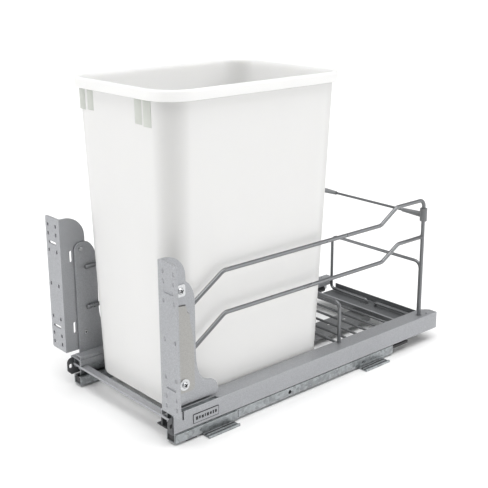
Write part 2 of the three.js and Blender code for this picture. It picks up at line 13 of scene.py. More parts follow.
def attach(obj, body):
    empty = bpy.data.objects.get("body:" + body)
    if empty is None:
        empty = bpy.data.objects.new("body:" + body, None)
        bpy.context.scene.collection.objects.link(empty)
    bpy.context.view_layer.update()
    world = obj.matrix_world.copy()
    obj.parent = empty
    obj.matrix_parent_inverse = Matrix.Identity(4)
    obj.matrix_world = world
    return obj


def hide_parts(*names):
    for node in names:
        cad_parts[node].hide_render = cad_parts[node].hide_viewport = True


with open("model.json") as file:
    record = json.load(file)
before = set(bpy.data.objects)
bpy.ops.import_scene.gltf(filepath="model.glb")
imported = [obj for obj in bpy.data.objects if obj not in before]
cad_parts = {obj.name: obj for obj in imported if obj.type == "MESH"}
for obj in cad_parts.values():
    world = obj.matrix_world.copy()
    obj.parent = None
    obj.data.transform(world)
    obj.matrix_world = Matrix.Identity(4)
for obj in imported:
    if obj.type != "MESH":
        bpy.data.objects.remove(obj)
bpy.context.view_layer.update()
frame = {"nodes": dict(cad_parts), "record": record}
nodes = frame["nodes"]
scene = bpy.context.scene
random.seed(7)

SY = 272.5


def P(x, y, z):
    return Vector((x / 1000, (y - SY) / 1000, z / 1000))


# ---------------------------------------------------------------- camera ----
cam_data = bpy.data.cameras.new("camera")
cam_data.sensor_width = 36
cam_data.sensor_fit = "HORIZONTAL"
cam_data.lens = 941.324 / 488 * 36
cam_data.shift_x = 0.0
cam_data.shift_y = -0.05943
cam_data.clip_start = 0.05
cam_data.clip_end = 60
cam = bpy.data.objects.new("camera", cam_data)
scene.collection.objects.link(cam)
YAW, PITCH, ROLL = (math.radians(a) for a in (48.977, 15.621, -0.346))
forward = Vector((-math.sin(YAW) * math.cos(PITCH), math.cos(YAW) * math.cos(PITCH), -math.sin(PITCH)))
right = Vector((math.cos(YAW), math.sin(YAW), 0))
up = right.cross(forward)
r2 = right * math.cos(ROLL) + up * math.sin(ROLL)
u2 = up * math.cos(ROLL) - right * math.sin(ROLL)
cam.matrix_world = Matrix((
    (r2.x, u2.x, -forward.x, 1.052485),
    (r2.y, u2.y, -forward.y, -0.950427),
    (r2.z, u2.z, -forward.z, 0.64373),
    (0, 0, 0, 1)))
scene.camera = cam
scene.view_settings.view_transform = "Standard"
scene.view_settings.look = "None"


# ------------------------------------------------------------- materials ----
def new_material(name):
    m = bpy.data.materials.new(name)
    m.use_nodes = True
    t = m.node_tree
    t.nodes.clear()
    out = t.nodes.new("ShaderNodeOutputMaterial")
    bsdf = t.nodes.new("ShaderNodeBsdfPrincipled")
    t.links.new(bsdf.outputs["BSDF"], out.inputs["Surface"])
    return m, t, bsdf


def node(t, kind, **sockets):
    n = t.nodes.new(kind)
    for k, v in sockets.items():
        n.inputs[k.replace("_", " ")].default_value = v
    return n


def coords(t):
    return t.nodes.new("ShaderNodeTexCoord").outputs["Object"]


def noise(t, vector, scale, detail=3.0, rough=0.5):
    n = t.nodes.new("ShaderNodeTexNoise")
    n.inputs["Scale"].default_value = scale
    n.inputs["Detail"].default_value = detail
    n.inputs["Roughness"].default_value = rough
    t.links.new(vector, n.inputs["Vector"])
    return n


def ramp(t, value, stops):
    r = t.nodes.new("ShaderNodeValToRGB")
    e = r.color_ramp.elements
    while len(e) > 1:
        e.remove(e[-1])
    e[0].position, e[0].color = stops[0][0], (*stops[0][1], 1)
    for pos, col in stops[1:]:
        s = e.new(pos)
        s.color = (*col, 1)
    t.links.new(value, r.inputs["Fac"])
    return r.outputs["Color"]


def spread(t, value, low, high, a=0.0, b=1.0):
    n = t.nodes.new("ShaderNodeMapRange")
    n.inputs["From Min"].default_value = a
    n.inputs["From Max"].default_value = b
    n.inputs["To Min"].default_value = low
    n.inputs["To Max"].default_value = high
    t.links.new(value, n.inputs["Value"])
    return n.outputs["Result"]


def mix(t, fac, a, b, kind="MIX"):
    n = t.nodes.new("ShaderNodeMix")
    n.data_type = "RGBA"
    n.blend_type = kind
    for sock, v in ((n.inputs[0], fac), (n.inputs[6], a), (n.inputs[7], b)):
        if hasattr(v, "links"):
            t.links.new(v, sock)
        elif sock.type == "RGBA":
            sock.default_value = (*v, 1)
        else:
            sock.default_value = v
    return n.outputs[2]


def bump(t, bsdf, layers):
    last = None
    for value, strength, distance in layers:
        b = t.nodes.new("ShaderNodeBump")
        b.inputs["Strength"].default_value = strength
        b.inputs["Distance"].default_value = distance
        t.links.new(value, b.inputs["Height"])
        if last is not None:
            t.links.new(last, b.inputs["Normal"])
        last = b.outputs["Normal"]
    t.links.new(last, bsdf.inputs["Normal"])


def edge_wear(t, vector, low, high):
    """Pointiness of worn edges."""
    g = t.nodes.new("ShaderNodeNewGeometry")
    return spread(t, g.outputs["Pointiness"], 0, 1, low, high)


def powder_coat(name, base, metallic, roughness, flake=0.05):
    """Satin powder coat: orange peel, fine metal flake, faint handling marks."""
    m, t, b = new_material(name)
    v = coords(t)
    peel = noise(t, v, 950, 2, 0.5)
    fleck = noise(t, v, 760, 2, 0.6)
    cloud = noise(t, v, 9, 3, 0.55)
    dark = tuple(c * (1 - flake) for c in base)
    light = tuple(min(1, c * (1 + flake)) for c in base)
    col = ramp(t, fleck.outputs["Fac"], [(0.3, dark), (0.7, light)])
    col = mix(t, spread(t, cloud.outputs["Fac"], 0.0, 0.22, 0.35, 0.7), col, tuple(c * 0.9 for c in base))
    t.links.new(col, b.inputs["Base Color"])
    b.inputs["Metallic"].default_value = metallic
    smear = noise(t, v, 26, 4, 0.6)
    t.links.new(spread(t, smear.outputs["Fac"], roughness - 0.05, roughness + 0.07, 0.3, 0.7), b.inputs["Roughness"])
    bump(t, b, [(peel.outputs["Fac"], 0.10, 0.00025), (fleck.outputs["Fac"], 0.05, 0.0001)])
    return m


def galvanised(name, base, roughness=0.34):
    """Zinc: crystal spangle, rolling lines and a little dulling."""
    m, t, b = new_material(name)
    v = coords(t)
    vor = t.nodes.new("ShaderNodeTexVoronoi")
    vor.inputs["Scale"].default_value = 210
    vor.inputs["Randomness"].default_value = 1
    warp = noise(t, v, 130, 2)
    add = t.nodes.new("ShaderNodeVectorMath")
    add.operation = "MULTIPLY_ADD"
    add.inputs[1].default_value = (0.004, 0.004, 0.004)
    t.links.new(warp.outputs["Color"], add.inputs[0])
    t.links.new(v, add.inputs[2])
    t.links.new(add.outputs[0], vor.inputs["Vector"])
    sep = t.nodes.new("ShaderNodeSeparateColor")
    t.links.new(vor.outputs["Color"], sep.inputs[0])
    spangle = sep.outputs[0]
    cloud = noise(t, v, 14, 4, 0.6)
    col = ramp(t, spangle, [(0.0, tuple(c * 0.72 for c in base)), (0.5, base), (1.0, tuple(min(1, c * 1.28) for c in base))])
    col = mix(t, spread(t, cloud.outputs["Fac"], 0.0, 0.35, 0.45, 0.75), col, tuple(c * 0.8 for c in base))
    t.links.new(col, b.inputs["Base Color"])
    b.inputs["Metallic"].default_value = 0.8
    t.links.new(spread(t, spangle, roughness - 0.06, roughness + 0.12), b.inputs["Roughness"])
    stretch = t.nodes.new("ShaderNodeVectorMath")
    stretch.operation = "MULTIPLY"
    stretch.inputs[1].default_value = (900, 12, 900)
    t.links.new(v, stretch.inputs[0])
    lines = noise(t, stretch.outputs[0], 1, 2)
    bump(t, b, [(lines.outputs["Fac"], 0.08, 0.0002), (spangle, 0.05, 0.0001)])
    return m


def plated(name, base, roughness=0.2):
    m, t, b = new_material(name)
    v = coords(t)
    c = noise(t, v, 420, 3, 0.6)
    col = ramp(t, c.outputs["Fac"], [(0.3, tuple(x * 0.86 for x in base)), (0.7, base)])
    t.links.new(col, b.inputs["Base Color"])
    b.inputs["Metallic"].default_value = 0.95
    t.links.new(spread(t, c.outputs["Fac"], roughness - 0.05, roughness + 0.12, 0.3, 0.7), b.inputs["Roughness"])
    fine = noise(t, v, 1800, 2, 0.5)
    bump(t, b, [(fine.outputs["Fac"], 0.12, 0.0002)])
    return m


def moulded(name, base, roughness=0.45, grain=1400, strength=0.16):
    """Moulded plastic: spark-eroded grain, faint flow lines."""
    m, t, b = new_material(name)
    v = coords(t)
    g = noise(t, v, grain, 2, 0.55)
    cloud = noise(t, v, 35, 3, 0.55)
    col = ramp(t, cloud.outputs["Fac"], [(0.3, tuple(c * 0.93 for c in base)), (0.7, tuple(min(1, c * 1.05) for c in base))])
    t.links.new(col, b.inputs["Base Color"])
    t.links.new(spread(t, g.outputs["Fac"], roughness - 0.06, roughness + 0.08, 0.3, 0.7), b.inputs["Roughness"])
    bump(t, b, [(g.outputs["Fac"], strength, 0.0003)])
    return m


def polypropylene(name, base, corner_painted_shade=0.0):
    """White bin plastic: slightly translucent, satin, with soft moulding flow and light scuffs; the rounded corners get
    painted shade.
    """
    m, t, b = new_material(name)
    v = coords(t)
    flow_v = t.nodes.new("ShaderNodeVectorMath")
    flow_v.operation = "MULTIPLY"
    flow_v.inputs[1].default_value = (9, 9, 2.2)
    t.links.new(v, flow_v.inputs[0])
    flow = noise(t, flow_v.outputs[0], 1, 3, 0.5)
    grain = noise(t, v, 1500, 2, 0.5)
    wave = noise(t, v, 13, 2, 0.4)
    scuff_v = t.nodes.new("ShaderNodeVectorMath")
    scuff_v.operation = "MULTIPLY"
    scuff_v.inputs[1].default_value = (240, 240, 30)
    t.links.new(v, scuff_v.inputs[0])
    scuff = noise(t, scuff_v.outputs[0], 1, 5, 0.7)
    col = ramp(t, flow.outputs["Fac"], [(0.35, tuple(c * 0.985 for c in base)), (0.65, base)])
    col = mix(t, spread(t, scuff.outputs["Fac"], 0.0, 0.05, 0.62, 0.8), col, (0.72, 0.72, 0.71))
    # painted shade: faces whose normal points diagonally between X and Y, the bin's rounded corners, are mixed towards
    # grey
    tc = t.nodes.new("ShaderNodeTexCoord")
    nrm = t.nodes.new("ShaderNodeSeparateXYZ")
    t.links.new(tc.outputs["Normal"], nrm.inputs[0])
    prod = t.nodes.new("ShaderNodeMath")
    prod.operation = "MULTIPLY"
    t.links.new(nrm.outputs["X"], prod.inputs[0])
    t.links.new(nrm.outputs["Y"], prod.inputs[1])
    mag = t.nodes.new("ShaderNodeMath")
    mag.operation = "ABSOLUTE"
    t.links.new(prod.outputs[0], mag.inputs[0])
    col = mix(t, spread(t, mag.outputs[0], 0.0, corner_painted_shade, 0.12, 0.5), col, (0.45, 0.447, 0.44))
    t.links.new(col, b.inputs["Base Color"])
    t.links.new(spread(t, scuff.outputs["Fac"], 0.36, 0.5, 0.4, 0.75), b.inputs["Roughness"])
    b.inputs["IOR"].default_value = 1.49
    b.inputs["Subsurface Weight"].default_value = 0.30
    b.inputs["Subsurface Radius"].default_value = (0.006, 0.006, 0.0055)
    b.inputs["Subsurface Scale"].default_value = 1.0
    bump(t, b, [(wave.outputs["Fac"], 0.12, 0.0012), (grain.outputs["Fac"], 0.07, 0.00025)])
    return m


SILVER = powder_coat("silver_powder_coat", (0.39, 0.398, 0.415), 0.5, 0.40, 0.16)
PLATE = powder_coat("satin_nickel_plate", (0.385, 0.38, 0.365), 0.4, 0.38, 0.12)
# near-black: painted shade in gaps, recesses and along plate edges, and also the plain print bars of the blank label
EDGE = moulded("painted_shade_and_print_black", (0.03, 0.03, 0.032), 0.6)
# painted shadow: grey for the bin wall just under the rim and the rim's underside, where the overhang's shade falls
SHADE = moulded("rim_painted_shadow_grey", (0.30, 0.30, 0.29), 0.55, 900, 0.05)
# painted shade: the centre support under the bin gets a darker copy of the frame's silver coat
SUPPORT = powder_coat("support_painted_shade_coat", (0.24, 0.245, 0.25), 0.5, 0.40, 0.2)
EAR = powder_coat("ear_coat", (0.12, 0.123, 0.128), 0.5, 0.4, 0.1)
# painted shade: the wires get a darker copy of the frame's silver coat
WIRE = powder_coat("silver_wire_painted_shade_coat", (0.205, 0.21, 0.217), 0.62, 0.30, 0.03)
ZINC = galvanised("galvanised_steel", (0.37, 0.39, 0.40))
BRIGHT = plated("bright_zinc_plate", (0.66, 0.67, 0.68), 0.28)
CLIP = moulded("grey_nylon", (0.20, 0.205, 0.21), 0.42)
BLACK = moulded("black_plastic", (0.016, 0.016, 0.018), 0.42)
# one white plastic in three brightnesses: the outside darker, the rim lighter and the inside lighter still; painted
# shade and painted light
BIN = polypropylene("white_polypropylene", (0.815, 0.813, 0.803), 0.36)
BIN_INSIDE_PAINTED_LIGHT = polypropylene("white_polypropylene_inside_painted_light", (0.97, 0.968, 0.958), 0.12)
BIN_RIM_PAINTED_LIGHT = polypropylene("white_polypropylene_rim_painted_light", (0.90, 0.898, 0.89))
TAB = moulded("frosted_tab", (0.60, 0.62, 0.575), 0.35, 900, 0.05)
# painted shade: still darker copies of the wire coat for the floor wires under the bin and the rear rod
FLOOR_WIRE = powder_coat("floor_wire_painted_shade_coat", (0.15, 0.155, 0.16), 0.62, 0.34, 0.03)
DARK_WIRE = powder_coat("rod_painted_shade_coat", (0.15, 0.155, 0.16), 0.6, 0.32, 0.03)
DARK = powder_coat("shaded_steel_coat", (0.155, 0.16, 0.166), 0.4, 0.42)
BY_SLOT = {"dark": DARK, "silver": SILVER, "wire": WIRE, "zinc": ZINC, "bright": BRIGHT, "bin": BIN, "clip": CLIP, "black": BLACK}
slot_of = {s["node"]: s["material_slot"] for s in frame["record"]["subparts"]}


# ------------------------------------------------ carried-over CAD pieces ----
def dress(o, material, bevel=0.0004, angle=32):
    if len(o.material_slots):
        for s in o.material_slots:
            s.link = "OBJECT"
            s.material = material
    else:
        o.data.materials.append(material)
    w = o.modifiers.new("weld", "WELD")
    w.merge_threshold = 0.00001
    if bevel:
        b = o.modifiers.new("bevel", "BEVEL")
        b.width = bevel
        b.segments = 2
        b.limit_method = "ANGLE"
        b.angle_limit = math.radians(angle)
        b.harden_normals = False
        b.use_clamp_overlap = True


SPECIAL = {"adjuster_plate": PLATE, "centre_support": SUPPORT, "rail_ear": EAR, "inner_floor_bracket": EAR}
for name, o in nodes.items():
    chosen = next((v for k, v in SPECIAL.items() if name.startswith(k)), BY_SLOT[slot_of[name]])
    dress(o, chosen)


# ---------------------------------------------------------------- pieces ----
def add_mesh(name, verts, faces, material=None, smooth=True):
    me = bpy.data.meshes.new(name)
    me.from_pydata([tuple(v) for v in verts], [], faces)
    me.update()
    o = bpy.data.objects.new(name, me)
    scene.collection.objects.link(o)
    if material is not None:
        me.materials.append(material)
    if smooth:
        me.polygons.foreach_set("use_smooth", [True] * len(me.polygons))
    return o


def ring(w, y0, y1, r, z, steps=10, straight=6):
    """Rounded rectangle, counter-clockwise seen from above, evenly parametrised."""
    pts = []
    corners = [(w - r, y0 + r, -90), (w - r, y1 - r, 0), (-w + r, y1 - r, 90), (-w + r, y0 + r, 180)]
    for i, (cx, cy, a0) in enumerate(corners):
        for k in range(steps + 1):
            a = math.radians(a0 + 90 * k / steps)
            pts.append((cx + r * math.cos(a), cy + r * math.sin(a)))
        nx, ny, na = corners[(i + 1) % 4]
        e = (nx + r * math.cos(math.radians(na)), ny + r * math.sin(math.radians(na)))
        q = pts[-1]
        for k in range(1, straight):
            f = k / straight
            pts.append((q[0] + (e[0] - q[0]) * f, q[1] + (e[1] - q[1]) * f))
    return [P(x, y, z) for x, y in pts]


def loft(name, rings, material, cap=(True, True)):
    n = len(rings[0])
    verts = [v for rr in rings for v in rr]
    faces = []
    for i in range(len(rings) - 1):
        for k in range(n):
            k2 = (k + 1) % n
            faces.append((i * n + k, i * n + k2, (i + 1) * n + k2, (i + 1) * n + k))
    if cap[0]:
        faces.append(tuple(reversed(range(n))))
    if cap[1]:
        faces.append(tuple((len(rings) - 1) * n + k for k in range(n)))
    return add_mesh(name, verts, faces, material)


def sheer(o, angle=35):
    """Smooth shading with crisp edges."""
    me = o.data
    bm = bmesh.new()
    bm.from_mesh(me)
    bmesh.ops.recalc_face_normals(bm, faces=bm.faces)
    for e in bm.edges:
        e.smooth = e.calc_face_angle(0.0) < math.radians(angle) if len(e.link_faces) == 2 else False
    for f in bm.faces:
        f.smooth = True
    bm.to_mesh(me)
    bm.free()
    return o


BZ0, BZ1 = 30.7, 478.5
BASE = (99.0, 22.5, 313.5, 34.0)
TOP = (117.0, 11.5, 331.6, 41.0)
RIM = (123.2, 5.0, 337.8, 45.0)


def body_at(z, inset=0.0):
    f = (z - BZ0) / (BZ1 - BZ0)
    w, y0, y1, r = (a + (b - a) * f for a, b in zip(BASE, TOP))
    return w - inset, y0 + inset, y1 - inset, max(4.0, r - inset)


def rim_at(out):
    """out = 0 at the body's wall, 1 at the rim's outer face."""
    w, y0, y1, r = (a + (b - a) * out for a, b in zip(TOP, RIM))
    return w, y0, y1, r


rings = []
for z, inset in ((BZ0 + 0.9, 7.0), (BZ0, 5.6), (BZ0, 3.2), (BZ0 + 0.9, 1.3), (BZ0 + 3.2, 0.2), (BZ0 + 6.0, 0.0)):
    rings.append(ring(*body_at(z, inset), z))
for z in (52, 80, 120, 170, 220, 270, 320, 370, 410, 440, 455, 460.6, 462.6):
    rings.append(ring(*body_at(z), z))
for out, z in ((0.30, 463.9), (0.66, 464.2), (0.74, 463.7), (0.86, 463.4), (0.95, 463.7), (0.99, 464.6), (1.0, 466.0), (0.985, 473.6),
               (0.97, 475.8), (0.90, 477.4), (0.78, 478.3), (0.60, 478.5), (0.40, 478.5), (0.24, 478.2)):
    rings.append(ring(*rim_at(out), z))
for z, inset in ((477.3, 0.6), (475.6, 1.6), (472.0, 2.3), (466, 2.6), (440, 2.6), (380, 2.6), (300, 2.6), (200, 2.6), (100, 2.6), (52, 2.6), (42, 3.0), (36.5, 5.0), (34.2, 9.0), (33.6, 15.0)):
    rings.append(ring(*body_at(z, inset), z))
bin_piece = loft("waste_bin", rings, BIN, (True, True))
bin_piece.data.materials.append(BIN_INSIDE_PAINTED_LIGHT)
bin_piece.data.materials.append(BIN_RIM_PAINTED_LIGHT)
bin_piece.data.materials.append(SHADE)
body_rings, rim_rings, per = 6 + 15, 14, len(rings[0])
# inside rows get the painted-light inside copy, rim rows the painted-light rim copy, and the rows just under the rim
# the painted shadow grey
for poly in bin_piece.data.polygons:
    row = poly.index // per
    if row >= body_rings + rim_rings - 1:
        poly.material_index = 1
    elif row >= body_rings + 2:
        poly.material_index = 2
    elif row >= body_rings - 2:
        poly.material_index = 3
bin_piece.data.polygons[len(rings) * per - per].material_index = 0
bin_piece = sheer(bin_piece, 50)
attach(bin_piece, "bin")
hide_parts("bin")


def pad(name, x0, x1, z0, z1, material, proud=1.5, slant=1.2):
    """Small moulded tab on the bin's front wall below the rim, with a rounded lower edge."""
    n = 6
    verts, faces = [], []
    prof = [(z1, 0.0), (z1 - 0.6, proud), (z0 + 2.2, proud * 0.8), (z0 + 0.8, proud * 0.55), (z0, 0.0)]
    for z, d in prof:
        y = body_at(z)[1]
        for k in range(n):
            f = k / (n - 1)
            side = min(f, 1 - f) * 2
            dd = d * min(1.0, side * 5 + 0.12)
            verts.append(P(x0 + (x1 - x0) * f + slant * (z - z0) / (z1 - z0) * 0.3, y - dd, z))
    back = len(verts)
    for z, d in prof:
        y = body_at(z)[1] + 0.8
        for k in range(n):
            f = k / (n - 1)
            verts.append(P(x0 + (x1 - x0) * f + slant * (z - z0) / (z1 - z0) * 0.3, y, z))
    m = len(prof)
    for i in range(m - 1):
        for k in range(n - 1):
            a = i * n + k
            faces.append((a, a + 1, a + n + 1, a + n))
            faces.append((back + a, back + a + n, back + a + n + 1, back + a + 1))
    for i in range(m - 1):
        for k in (0, n - 1):
            a = i * n + k
            q = (a, a + n, back + a + n, back + a)
            faces.append(q if k == 0 else tuple(reversed(q)))
    for k in range(n - 1):
        faces.append((k, back + k, back + k + 1, k + 1))
        a = (m - 1) * n + k
        faces.append((a, a + 1, back + a + 1, back + a))
    o = sheer(add_mesh(name, verts, faces, material), 40)
    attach(o, "bin")
    return o


for i, (x0, x1, z0, z1) in enumerate(((-90.5, -76, 433, 462.4), (-70.5, -55.5, 434, 462.4), (43.5, 59.5, 429, 462.4), (62.5, 79.5, 427.5, 462.4))):
    pad("rim_tab_%d" % (i + 1), x0, x1, z0, z1, TAB)


# wires: swept tubes with bent corners, weld beads where they meet
def bent(points, bends):
    """Centre line with circular bends; points in millimetres."""
    pts = [Vector(q) for q in points]
    out = [pts[0]]
    for i in range(1, len(pts) - 1):
        a = (pts[i - 1] - pts[i]).normalized()
        b = (pts[i + 1] - pts[i]).normalized()
        rr = bends[i - 1] if isinstance(bends, (list, tuple)) else bends
        ang = a.angle(b)
        d = min(rr / math.tan(ang / 2), 0.48 * (pts[i] - pts[i - 1]).length, 0.48 * (pts[i + 1] - pts[i]).length)
        rr = d * math.tan(ang / 2)
        mid = (a + b).normalized()
        centre = pts[i] + mid * (rr / math.sin(ang / 2))
        s0, s1 = pts[i] + a * d - centre, pts[i] + b * d - centre
        total = s0.angle(s1)
        steps = max(2, int(math.degrees(total) / 7))
        for k in range(steps + 1):
            f = k / steps
            q = s0 * (math.sin((1 - f) * total) / math.sin(total)) + s1 * (math.sin(f * total) / math.sin(total))
            out.append(centre + q)
    out.append(pts[-1])
    return out


def tube(verts, faces, line, radius, n=18, chamfer=0.5):
    """Adds a swept round wire with chamfered ends to verts and faces."""
    base = len(verts)
    t0 = (line[1] - line[0]).normalized()
    side = t0.cross(Vector((0.31, 0.17, 0.93))).normalized()
    line = list(line)
    rad = [radius] * len(line)
    d0, d1 = (line[1] - line[0]).normalized(), (line[-1] - line[-2]).normalized()
    line = [line[0], line[0] + d0 * chamfer] + line[1:-1] + [line[-1] - d1 * chamfer, line[-1]]
    rad = [radius - chamfer * 0.7, radius] + rad[1:-1] + [radius, radius - chamfer * 0.7]
    for i, q in enumerate(line):
        if i == 0:
            t = d0
        elif i == len(line) - 1:
            t = d1
        else:
            t = ((line[i + 1] - q).normalized() + (q - line[i - 1]).normalized()).normalized()
        side = (side - t * side.dot(t)).normalized()
        other = t.cross(side)
        for k in range(n):
            a = 2 * math.pi * k / n
            v = q + (side * math.cos(a) + other * math.sin(a)) * rad[i]
            verts.append(P(v.x, v.y, v.z))
    m = len(line)
    for i in range(m - 1):
        for k in range(n):
            k2 = (k + 1) % n
            faces.append((base + i * n + k, base + i * n + k2, base + (i + 1) * n + k2, base + (i + 1) * n + k))
    faces.append(tuple(base + k for k in reversed(range(n))))
    faces.append(tuple(base + (m - 1) * n + k for k in range(n)))


def bead(verts, faces, centre, size, seed):
    """Small uneven weld bead."""
    rnd = random.Random(seed)
    base = len(verts)
    rows, n = 7, 12
    lump = [[1 + rnd.uniform(-0.10, 0.10) for _ in range(n)] for _ in range(rows)]
    for i in range(rows):
        th = math.pi * (i + 0.5) / rows
        for k in range(n):
            a = 2 * math.pi * k / n
            g = lump[i][k]
            verts.append(P(centre[0] + size[0] * g * math.sin(th) * math.cos(a),
                           centre[1] + size[1] * g * math.sin(th) * math.sin(a),
                           centre[2] + size[2] * g * math.cos(th)))
    for i in range(rows - 1):
        for k in range(n):
            k2 = (k + 1) % n
            faces.append((base + i * n + k, base + (i + 1) * n + k, base + (i + 1) * n + k2, base + i * n + k2))
    faces.append(tuple(base + k for k in range(n)))
    faces.append(tuple(base + (rows - 1) * n + k for k in reversed(range(n))))


def wire_piece(name, lines, beads, stands_for, body, material, n=18):
    verts, faces = [], []
    for line, radius in lines:
        tube(verts, faces, line, radius, n)
    for i, (c, size) in enumerate(beads):
        bead(verts, faces, c, size, hash_of(name) + i)
    o = sheer(add_mesh(name, verts, faces, material), 60)
    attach(o, body)
    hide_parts(stands_for)
    return o


def hash_of(text):
    return sum((i + 3) * ord(c) for i, c in enumerate(text))


WX, PX, PY = 121.5 - 2.3 - 0.3 - 3.1, 120.5, 524.5
for sgn, side_name in ((-1, "left"), (1, "right")):
    def m(pts):
        return [(x * sgn, y, z) for x, y, z in pts]

    up_pts = m([(WX, 22, 188.5), (WX, 44, 189.5), (119.4, 96, 226.8), (PX - 0.4, 419, 227), (PX, 456, 250.4), (PX, PY, 250.6), (PX, PY, 48.3)])
    lo_pts = m([(WX, 22, 124.5), (WX, 44, 125.5), (119.4, 98, 165.3), (PX - 0.4, 424, 165.2), (PX, 462, 187.6), (PX, PY - 3.4, 187.6)])
    wire_piece("upper_side_wire_tube_" + side_name, [(bent(up_pts, [12, 14, 14, 14, 11]), 3.1)],
               [((sgn * PX, PY, 49.4), (4.0, 4.0, 1.1)), ((sgn * (WX + 2.0), 30, 188.9 + 2.4), (1.0, 7.5, 1.5)), ((sgn * (WX + 2.0), 30, 188.9 - 2.4), (1.0, 7.5, 1.5))],
               "upper_side_wire_" + side_name, "carriage", WIRE)
    wire_piece("lower_side_wire_tube_" + side_name, [(bent(lo_pts, [12, 14, 14, 14]), 3.1)],
               [((sgn * PX, PY - 3.6, 190.2), (2.2, 1.1, 1.5)), ((sgn * PX, PY - 3.6, 185.0), (2.2, 1.1, 1.5)),
                ((sgn * (WX + 2.0), 30, 124.9 + 2.4), (1.0, 7.5, 1.5)), ((sgn * (WX + 2.0), 30, 124.9 - 2.4), (1.0, 7.5, 1.5))],
               "lower_side_wire_" + side_name, "carriage", WIRE)

HY, HW, HZ = 544.8, 102.8, 134.5
hoop = [(-13, HY, 25), (-16, HY, 33), (-HW, HY, 33), (-HW, HY, HZ), (HW, HY, HZ), (HW, HY, 33), (8, HY, 33), (5, HY, 25)]
wire_piece("rear_hoop_tube", [(bent(hoop, [4, 7, 12, 12, 7, 4]), 2.7)],
           [((-78, HY, 30.4), (6, 1.6, 1.0)), ((78, HY, 30.4), (6, 1.6, 1.0))], "rear_hoop", "carriage", WIRE)
FX, FY, FZ = 110, 339, 115.5
wire_piece("bin_fence_tube", [(bent([(-FX, FY, 48.3), (-FX, FY, FZ), (FX, FY, FZ), (FX, FY, 48.3)], 11), 2.9)],
           [((-FX, FY, 49.2), (3.7, 3.7, 0.9)), ((FX, FY, 49.2), (3.7, 3.7, 0.9))], "bin_fence", "carriage", WIRE)
GW = 102.7
floor_lines = [(bent([(-GW, 345 + 24.5 * i, 43.3), (0, 345 + 24.5 * i, 43.3), (GW, 345 + 24.5 * i, 43.3)][::2], 1), 2.0) for i in range(6)]
floor_lines += [(bent([(s_ * (GW - 2.2), 341, 40.5), (s_ * (GW - 2.2), 471, 40.5)], 1), 1.6) for s_ in (-1, 1)]
wire_piece("wire_floor_tubes", floor_lines,
           [((s_ * (GW - 2.2), 345 + 24.5 * i, 41.5), (1.9, 2.3, 0.9)) for s_ in (-1, 1) for i in range(6)],
           "wire_floor", "carriage", FLOOR_WIRE, 14)
wire_piece("rear_rod_tube", [(bent([(-108, PY, 225), (108, PY, 225)], 1), 2.1)], [], "rear_rod", "carriage", DARK_WIRE)


# plate pieces: closed outlines with their own edge material
def slab(name, outline, depth, place, face_mat, edge_mat, body, stands_for=None, inset=0.35):
    """Flat plate with a small chamfer. outline is a list of 2D points, place maps (u, v, w) to part millimetres."""
    n = len(outline)
    cu = sum(q[0] for q in outline) / n
    cv = sum(q[1] for q in outline) / n

    def shrink(q, d):
        du, dv = cu - q[0], cv - q[1]
        length = math.hypot(du, dv) or 1.0
        return q[0] + du / length * d, q[1] + dv / length * d

    layers = [(inset, 0.0), (0.0, inset), (0.0, depth - inset), (inset, depth)]
    verts = []
    for d, w in layers:
        for q in outline:
            u, v = shrink(q, d)
            verts.append(P(*place(u, v, w)))
    faces = []
    for i in range(3):
        for k in range(n):
            k2 = (k + 1) % n
            faces.append((i * n + k, i * n + k2, (i + 1) * n + k2, (i + 1) * n + k))
    faces.append(tuple(reversed(range(n))))
    faces.append(tuple(3 * n + k for k in range(n)))
    o = add_mesh(name, verts, faces, face_mat)
    o.data.materials.append(edge_mat)
    for poly in o.data.polygons:
        poly.material_index = 1 if poly.index < 3 * n else 0
    o = sheer(o, 30)
    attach(o, body)
    if stands_for:
        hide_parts(stands_for)
    return o


def round_rect(a0, b0, a1, b1, rr, steps=5):
    out = []
    for cx, cy, st in ((a1 - rr, b0 + rr, -90), (a1 - rr, b1 - rr, 0), (a0 + rr, b1 - rr, 90), (a0 + rr, b0 + rr, 180)):
        for k in range(steps + 1):
            a = math.radians(st + 90 * k / steps)
            out.append((cx + rr * math.cos(a), cy + rr * math.sin(a)))
    return out


for sgn, side_name in ((-1, "left"), (1, "right")):
    # blank label: a dark border painted as the shade around the raised plate's edge, a light face and a row of plain
    # bars instead of lettering
    def on_rail(base):
        return lambda u, v, w, k=sgn, b_=base: (k * (b_ + w), u, v)
    slab("label_edge_shadow_" + side_name, round_rect(29.5, 24.0, 75.0, 38.2, 1.2), 0.40, on_rail(131.05), EDGE, EDGE, "carriage", "blank_label_" + side_name, 0.1)
    slab("label_face_" + side_name, round_rect(30.5, 24.9, 74.0, 37.0, 0.8), 0.15, on_rail(131.47), SILVER, SILVER, "carriage", None, 0.04)
    for i, (u0, u1) in enumerate(((34, 38), (39.5, 42.5), (44, 48), (49.5, 51.5), (53, 57), (58.5, 62), (63.5, 66), (67.5, 71))):
        slab("label_bar_%s_%d" % (side_name, i + 1), round_rect(u0, 28.4 + 0.5 * (i % 2), u1, 33.6 - 0.4 * (i % 3), 0.6), 0.08, on_rail(131.64), EDGE, EDGE, "carriage", None, 0.02)
    # dark strips between the ridges of the floor brackets
    for tag, y0, y1 in (("front", 48.4, 102.6), ("rear", 368.9, 424.1)):
        for j, (xa, xb) in enumerate(((130.8, 135.3), (138.1, 141.3))):
            slab("%s_foot_shade_%s_%d" % (tag, side_name, j + 1), round_rect(xa, y0, xb, y1, 0.6, 3), 0.12,
                 lambda u, v, w, k=sgn: (k * u, v, 1.83 + w), EDGE, EDGE, "cabinet_slides", None, 0.03)
